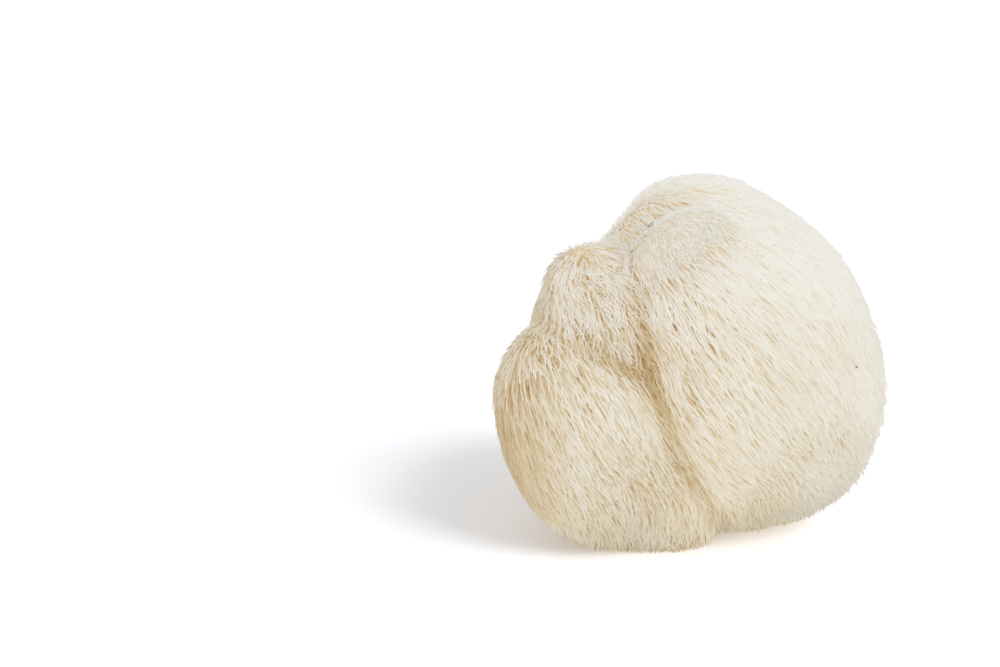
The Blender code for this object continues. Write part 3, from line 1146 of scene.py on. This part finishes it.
# %% Flesh: tan between the roots, pale on the cut, crusty at its rim, painted shade in creases and slits
FLESH_TONES = {
    "skin": ((0.25, "#DDBD8C"), (0.5, "#E6CDA2"), (0.8, "#EFDDBC")),
    # painted shade in the creases
    "crease": ((0.25, "#B48952"), (0.5, "#C8A46E"), (0.8, "#DBBF90")),
    # painted shade in the slits
    "stain": ((0.25, "#96602C"), (0.5, "#B07A3F"), (0.8, "#C8985A")),
    "bare": ((0.25, "#E4DCCB"), (0.5, "#EAE3D4"), (0.8, "#F1ECE1")),
    "cut": ((0.3, "#E9DFC4"), (0.5, "#F3ECD9"), (0.75, "#F8F4E8")),
    "rim": ((0.3, "#C6A05C"), (0.5, "#DABD80"), (0.75, "#EAD9AE")),
}
# each mark, and the colour that it is laid over: the rim goes over the cut, and then the cut
# with its rim over all the rest
LAID_OVER = (("crease", "skin"), ("stain", "skin"), ("bare", "skin"), ("rim", "cut"), ("cut", "skin"))
MOTTLE_SIZE = 0.0022         # about as wide as the gaps between a few roots
FIBRE_SIZE = 0.0012          # torn threads are finer, but finer ones wouldn't show
THREAD_HEIGHT = 0.0002


def flesh_material():
    """Damp flesh: matte, mottled tan, and a fibrous whitish cut underneath."""
    material = new_material("fresh_mushroom_flesh")
    place = {"Vector": add_node(material, "ShaderNodeTexCoord").outputs["Object"]}
    mottle, fibre = (
        add_node(material, "ShaderNodeTexNoise", {"Scale": 1.0 / size, "Detail": detail}, place)
        for size, detail in ((MOTTLE_SIZE, 3.0), (FIBRE_SIZE, 4.0))
    )
    colours = {}
    for name, stops in FLESH_TONES.items():
        source = {"Fac": (fibre if name in ("cut", "rim") else mottle).outputs["Fac"]}
        ramp = add_node(material, "ShaderNodeValToRGB", {"stops": stops}, source)
        colours[name] = ramp.outputs["Color"]
    for name, under in LAID_OVER:
        mark = add_node(material, "ShaderNodeAttribute", {"attribute_name": name})
        inputs = {0: mark.outputs["Fac"], 6: colours[under], 7: colours[name]}
        mixed = add_node(material, "ShaderNodeMix", {"data_type": "RGBA"}, inputs)
        colours[under] = mixed.outputs[2]
    height = {"Height": fibre.outputs["Fac"]}
    threads = add_node(material, "ShaderNodeBump", {"Strength": 0.6, "Distance": THREAD_HEIGHT}, height)
    links = {"Base Color": colours["skin"], "Normal": threads.outputs["Normal"]}
    matte = {"Roughness": 0.7, "IOR": FLESH_IOR}
    shader = add_node(material, "ShaderNodeBsdfPrincipled", matte, links)
    add_node(material, "ShaderNodeOutputMaterial", links={"Surface": shader.outputs["BSDF"]})
    return material


flesh_look = flesh_material()
print("flesh mottled at", MOTTLE_SIZE * 1000, "mm")

# %% The grain: dark humus with paler crumbs
GRAIN_TONES = ((0.3, "#3E2F20"), (0.5, "#5C4833"), (0.75, "#876C4E"))
CRUMB_SIZE = 0.0003


def grain_material():
    """Dry humus: dark brown, crumbly and quite matte."""
    material = new_material("dry_humus")
    place = {"Vector": add_node(material, "ShaderNodeTexCoord").outputs["Object"]}
    crumb = add_node(material, "ShaderNodeTexNoise", {"Scale": 1.0 / CRUMB_SIZE}, place)
    source = {"Fac": crumb.outputs["Fac"]}
    ramp = add_node(material, "ShaderNodeValToRGB", {"stops": GRAIN_TONES}, source)
    links = {"Base Color": ramp.outputs["Color"]}
    shader = add_node(material, "ShaderNodeBsdfPrincipled", {"Roughness": 0.9}, links)
    add_node(material, "ShaderNodeOutputMaterial", links={"Surface": shader.outputs["BSDF"]})
    return material


grain_look = grain_material()
print("grain crumbs of", CRUMB_SIZE * 1000, "mm")

# %% [markdown]
# ## Light that goes through the coat
#
# In a real coat light passes from spine to spine, which is why it looks soft and bright
# even between the strands. These closed spines let none through, so they cast no shadow
# and don't stop the light that is thrown back from one surface to the next. The flesh
# under them does both, and gives the creases their depth and the floor its shadow.

# %% Dress the pieces and tie them to the solid
for piece, look in ((flesh, flesh_look), *((piece, spines_look) for piece in coat), (grain, grain_look)):
    piece.data.materials.append(look)
    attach(piece, "root")
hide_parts("fruit_body")
for piece in coat:
    piece.visible_shadow = False
    piece.visible_diffuse = False
print("pieces:", [piece.name for piece in (flesh, *coat, grain)])

# %% [markdown]
# ## Floor, light and camera
#
# The mushroom lies on white paper in a bright studio. Soft white light comes from all
# round, and weak cards above, at the right and low in front shape it. The table throws
# light up too: here the floor lets the light from below through, which gives less grain
# than throwing it back. The long soft shadow at the left is drawn by a light of its own
# that reaches only the floor, because a lamp that strong would bleach the coat.

# %% The floor: matte white paper, so it throws no reflections and its edges aren't seen
FLOOR_HALF = 4.0             # half its width, far wider than the view
FLOOR_GLOW = 0.09            # lifts it to pure white, as it is where paper is lit strongly

floor_bm = bmesh.new()
bmesh.ops.create_grid(floor_bm, x_segments=1, y_segments=1, size=FLOOR_HALF)
floor = finished("floor", floor_bm)
paper = new_material("matte_white_paper")
paper_shader = add_node(
    paper,
    "ShaderNodeBsdfPrincipled",
    {
        "Base Color": screen_colour("#D0D2D6"),
        "Roughness": 0.9,
        "Emission Color": (1.0, 1.0, 1.0, 1.0),
        "Emission Strength": FLOOR_GLOW,
    },
)
add_node(paper, "ShaderNodeOutputMaterial", links={"Surface": paper_shader.outputs["BSDF"]})
floor.data.materials.append(paper)
floor.visible_diffuse = False
floor.visible_shadow = False
print("floor:", FLOOR_HALF * 2, "m wide")


# %% The lights
def soft_light(name, place, aim, width, power, code):
    """Add a square light that faces the aim."""
    data = bpy.data.lights.new(name, "AREA")
    data.shape = "SQUARE"
    data.size = width
    data.energy = power
    data.color = screen_colour(code)[:3]
    light = bpy.data.objects.new(name, data)
    light.location = place
    light.rotation_euler = (Vector(aim) - Vector(place)).to_track_quat("-Z", "Y").to_euler()
    bpy.context.scene.collection.objects.link(light)
    return light


MIDDLE = (0.0, 0.0, 0.05)
WHITE = "#FFFFFF"
# name, place, what it faces, width in metres, power in watts, colour
LIGHTS = (
    ("key", (1.1, -0.35, 0.85), MIDDLE, 1.1, 2.0, WHITE),
    ("ceiling", (0.15, 0.1, 1.6), MIDDLE, 2.4, 2.5, WHITE),
    ("low card", (0.45, -1.05, 0.06), MIDDLE, 0.9, 3.4, "#FFFDF8"),
    ("left", (-0.75, -0.15, 1.20), MIDDLE, 1.2, 2.2, WHITE),
    ("warm card", (-0.9, -0.7, 0.12), MIDDLE, 0.8, 1.2, "#FFCF98"),
    ("thrown up", (0.15, -0.10, -0.70), MIDDLE, 1.6, 2.6, "#FFEFD8"),
    ("backdrop", (0.0, 2.6, 0.7), (0.0, 2.2, 0.0), 2.0, 42.0, WHITE),
    ("floor key", (0.85, -0.65, 1.1), MIDDLE, 0.8, 26.0, WHITE),
)
lights = {row[0]: soft_light(*row) for row in LIGHTS}
only_floor = bpy.data.collections.new("only_floor")
only_floor.objects.link(floor)
lights["floor key"].light_linking.receiver_collection = only_floor
print("lights:", len(lights))

# %% The light from all round
SKY_STRENGTH = 0.655         # with the lights, the coat comes out as bright as the real one

sky = bpy.data.worlds.new("studio")
sky.use_nodes = True
background = sky.node_tree.nodes["Background"]
background.inputs["Color"].default_value = screen_colour(WHITE)
background.inputs["Strength"].default_value = SKY_STRENGTH
bpy.context.scene.world = sky
bpy.context.scene.view_settings.view_transform = "Standard"
print("sky strength:", SKY_STRENGTH)

# %% The camera
CAMERA_PLACE = (-0.0614, -0.7881, 0.2733)
CAMERA_PITCH = 15.0          # degrees that it looks down
CAMERA_LENS = 90.0

camera_data = bpy.data.cameras.new("camera")
camera_data.lens = CAMERA_LENS
camera_data.sensor_width = 36.0
camera_data.clip_start = 0.01
camera = bpy.data.objects.new("camera", camera_data)
camera.location = CAMERA_PLACE
camera.rotation_euler = (math.radians(90.0 - CAMERA_PITCH), 0.0, 0.0)
bpy.context.scene.collection.objects.link(camera)
bpy.context.scene.camera = camera
print("camera looks down", CAMERA_PITCH, "degrees")
